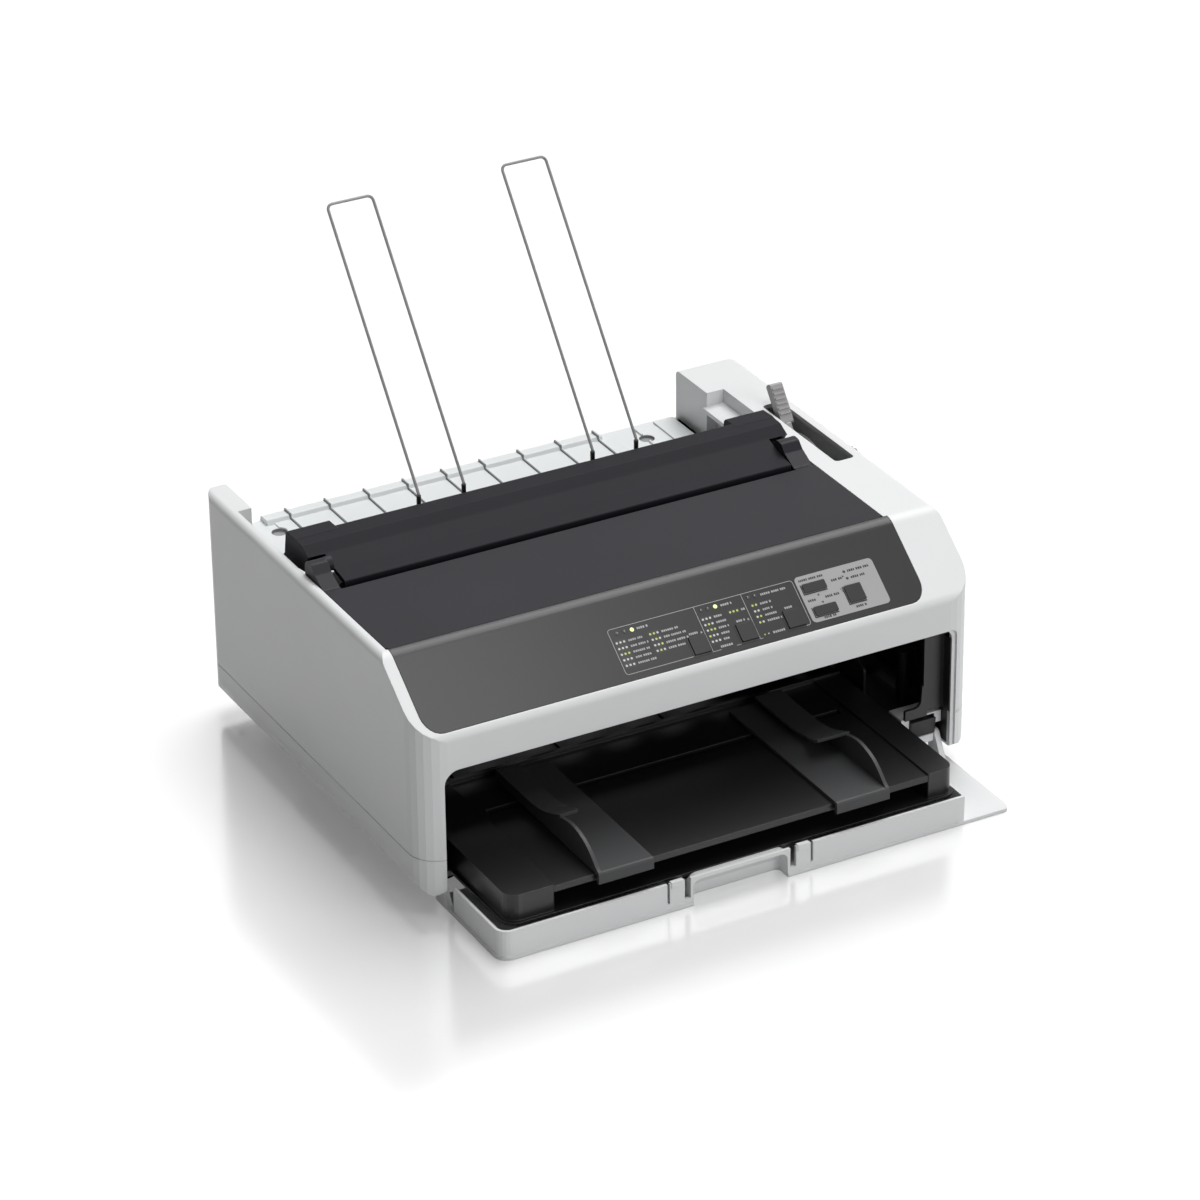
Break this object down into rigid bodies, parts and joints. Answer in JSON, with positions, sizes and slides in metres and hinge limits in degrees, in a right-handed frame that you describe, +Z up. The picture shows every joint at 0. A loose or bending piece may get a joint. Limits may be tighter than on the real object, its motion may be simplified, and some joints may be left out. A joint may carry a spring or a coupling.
{
  "type": "dot matrix printer",
  "caption": "Desktop dot matrix printer with a fold-down front door, slide-out sheet tray, smoked hinged cover and two wire paper supports.",
  "frame": {"origin": "on the table, under the middle of the whole object with the door open", "axes": "+Z up, +Y from the front of the printer to its rear, +X to the right of someone facing the front"},
  "size_m": [0.4266, 0.4068, 0.3463],
  "materials": {
    "case_shell": "fine satin moulded plastic",
    "dark_cover": "fine textured dark moulding",
    "smoked_cover": "glossy smoked plastic",
    "panel_grey": "satin gloss dark panel",
    "lamp_lens": "clear green lens",
    "board_green": "circuit board",
    "pin_steel": "ground steel",
    "support_wire": "bright plated wire",
    "black_plastic": "black moulding",
    "guide_grey": "dark grey moulding",
    "lever_grey": "mid grey moulding",
    "frame_steel": "zinc-plated sheet",
    "platen_rubber": "ground rubber",
    "gear_nylon": "natural nylon",
    "brass": "machined brass",
    "motor_metal": "dark painted metal",
    "head_metal": "cast fins"
  },
  "bodies": {
    "chassis": {"lower_case": "case_shell", "upper_case": "case_shell", "control_panel": "panel_grey", "indicator_lights": "lamp_lens", "panel_board": "board_green", "cover_hinge_pins": "pin_steel", "guide_hinge_pins": "pin_steel", "rear_paper_guide": "case_shell", "door_hinge_pins": "pin_steel", "lever_pin": "pin_steel", "switch_panel": "case_shell", "inner_bezel": "black_plastic", "left_side_frame": "frame_steel", "right_side_frame": "frame_steel", "cross_pan": "frame_steel", "idler_stud": "pin_steel", "feed_motor": "motor_metal", "carriage_shaft": "pin_steel", "carriage_rail": "frame_steel", "timing_belt": "platen_rubber", "carriage_motor": "motor_metal", "pulley_stud": "pin_steel", "ribbon_cartridge": "black_plastic", "main_board": "board_green", "power_supply": "frame_steel", "power_inlet": "black_plastic", "data_connectors": "frame_steel", "rubber_feet": "platen_rubber", "case_screws": "pin_steel"},
    "cover": {"printer_cover": "smoked_cover"},
    "sheet_guide_unit": {"sheet_guide": "dark_cover", "wire_sleeves": "black_plastic"},
    "left_wire": {"left_wire_support": "support_wire"},
    "right_wire": {"right_wire_support": "support_wire"},
    "door": {"front_door": "case_shell"},
    "tray": {"front_tray": "black_plastic"},
    "left_guide": {"left_edge_guide": "guide_grey"},
    "right_guide": {"right_edge_guide": "guide_grey"},
    "lever": {"release_lever": "lever_grey", "lever_quadrant": "black_plastic"},
    "switch": {"power_switch": "black_plastic"},
    "platen_unit": {"platen": "platen_rubber", "platen_shaft": "pin_steel", "platen_gear": "gear_nylon", "platen_knob": "lever_grey"},
    "idler": {"idler_gear": "gear_nylon"},
    "pinion": {"motor_pinion": "brass"},
    "carriage_unit": {"carriage": "black_plastic", "print_head": "head_metal"},
    "belt_drive": {"drive_pulley": "brass"},
    "belt_idler": {"idle_pulley": "gear_nylon"},
    "font_key": {"font_button": "panel_grey"},
    "pitch_key": {"pitch_button": "panel_grey"},
    "tear_off_key": {"tear_off_button": "panel_grey"},
    "load_eject_key": {"load_eject_button": "panel_grey"},
    "line_feed_key": {"line_feed_button": "panel_grey"},
    "pause_key": {"pause_button": "panel_grey"}
  },
  "joints": [
    {"name": "cover_hinge", "type": "hinge", "parent": "chassis", "child": "cover", "pos_m": [-0.0063, 0.03535, 0.163], "axis": [-1, 0, 0], "range_deg": [0, 90]},
    {"name": "sheet_guide_tilt", "type": "hinge", "parent": "chassis", "child": "sheet_guide_unit", "pos_m": [-0.0063, 0.08485, 0.1543], "axis": [-1, 0, 0], "range_deg": [0, 50]},
    {"name": "left_wire_lift", "type": "slide", "parent": "sheet_guide_unit", "child": "left_wire", "axis": [0, 0, 1], "range_m": [0, 0.02]},
    {"name": "right_wire_lift", "type": "slide", "parent": "sheet_guide_unit", "child": "right_wire", "axis": [0, 0, 1], "range_m": [0, 0.02]},
    {"name": "front_door_hinge", "type": "hinge", "parent": "chassis", "child": "door", "pos_m": [-0.0063, -0.11715, 0.017], "axis": [-1, 0, 0], "range_deg": [0, 90]},
    {"name": "tray_slide", "type": "slide", "parent": "chassis", "child": "tray", "axis": [0, 1, 0], "range_m": [0, 0.156]},
    {"name": "left_guide_slide", "type": "slide", "parent": "tray", "child": "left_guide", "axis": [1, 0, 0], "range_m": [-0.02, 0.05]},
    {"name": "right_guide_slide", "type": "slide", "parent": "tray", "child": "right_guide", "axis": [1, 0, 0], "range_m": [-0.05, 0.02]},
    {"name": "release_lever_hinge", "type": "hinge", "parent": "chassis", "child": "lever", "pos_m": [0.1839, 0.05435, 0.1203], "axis": [1, 0, 0], "range_deg": [0, 40]},
    {"name": "power_switch_rock", "type": "hinge", "parent": "chassis", "child": "switch", "pos_m": [0.1683, -0.11565, 0.0277], "axis": [-1, 0, 0], "range_deg": [0, 8]},
    {"name": "platen_spin", "type": "hinge", "parent": "chassis", "child": "platen_unit", "pos_m": [-0.0063, 0.04135, 0.138], "axis": [1, 0, 0], "continuous": true},
    {"name": "idler_spin", "type": "hinge", "parent": "chassis", "child": "idler", "pos_m": [-0.1943, 0.05497, 0.11239], "axis": [1, 0, 0], "continuous": true},
    {"name": "pinion_spin", "type": "hinge", "parent": "chassis", "child": "pinion", "pos_m": [-0.1943, 0.06342, 0.0965], "axis": [1, 0, 0], "continuous": true},
    {"name": "carriage_slide", "type": "slide", "parent": "chassis", "child": "carriage_unit", "axis": [1, 0, 0], "range_m": [0, 0.24]},
    {"name": "drive_pulley_spin", "type": "hinge", "parent": "chassis", "child": "belt_drive", "pos_m": [-0.1703, -0.03065, 0.097], "axis": [0, 0, 1], "range_deg": [0, 2300]},
    {"name": "idle_pulley_spin", "type": "hinge", "parent": "chassis", "child": "belt_idler", "pos_m": [0.1363, -0.03065, 0.097], "axis": [0, 0, 1], "range_deg": [0, 2300]},
    {"name": "font_press", "type": "slide", "parent": "chassis", "child": "font_key", "axis": [0, 0.6088, -0.7934], "range_m": [0, 0.0012], "stiffness_N_per_m": 300},
    {"name": "pitch_press", "type": "slide", "parent": "chassis", "child": "pitch_key", "axis": [0, 0.6088, -0.7934], "range_m": [0, 0.0012], "stiffness_N_per_m": 300},
    {"name": "tear_off_press", "type": "slide", "parent": "chassis", "child": "tear_off_key", "axis": [0, 0.6088, -0.7934], "range_m": [0, 0.0012], "stiffness_N_per_m": 300},
    {"name": "load_eject_press", "type": "slide", "parent": "chassis", "child": "load_eject_key", "axis": [0, 0.6088, -0.7934], "range_m": [0, 0.0012], "stiffness_N_per_m": 300},
    {"name": "line_feed_press", "type": "slide", "parent": "chassis", "child": "line_feed_key", "axis": [0, 0.6088, -0.7934], "range_m": [0, 0.0012], "stiffness_N_per_m": 300},
    {"name": "pause_press", "type": "slide", "parent": "chassis", "child": "pause_key", "axis": [0, 0.6088, -0.7934], "range_m": [0, 0.0012], "stiffness_N_per_m": 300}
  ],
  "couplings": [
    {"joint": "front_door_hinge", "follows": "tray_slide", "rad_per_m": 10.069},
    {"joint": "idler_spin", "follows": "platen_spin", "ratio": -1.4167},
    {"joint": "pinion_spin", "follows": "platen_spin", "ratio": 2.8333},
    {"joint": "drive_pulley_spin", "follows": "carriage_slide", "rad_per_m": 166.67},
    {"joint": "idle_pulley_spin", "follows": "carriage_slide", "rad_per_m": 166.67}
  ]
}
